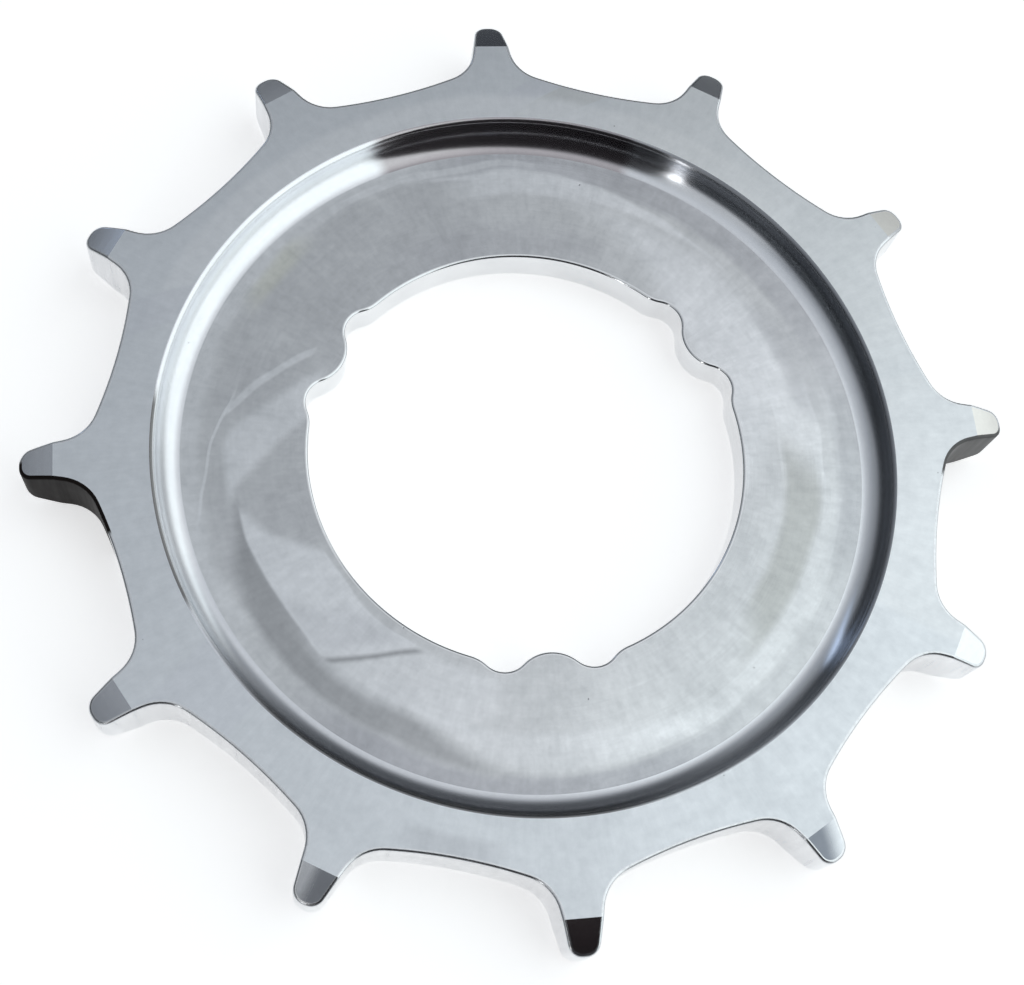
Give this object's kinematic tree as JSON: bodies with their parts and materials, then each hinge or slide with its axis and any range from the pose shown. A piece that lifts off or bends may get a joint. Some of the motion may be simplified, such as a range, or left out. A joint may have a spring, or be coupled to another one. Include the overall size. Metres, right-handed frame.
{
  "type": "chain sprocket",
  "caption": "Steel sprocket for a roller chain, with wide gaps between its teeth, a round recess in its front face and a hub bore with driving lugs.",
  "frame": {"origin": "on the axis, at the flat back face that the part lies on", "axes": "+Z along the axis, from the flat back to the recessed front; +Y through the middle of one tooth, with one driving lug on -Y"},
  "size_m": [0.0778, 0.0778, 0.0054],
  "materials": {
    "steel": "turned and ground, bright"
  },
  "bodies": {
    "root": {"sprocket": "steel"}
  },
  "joints": []
}
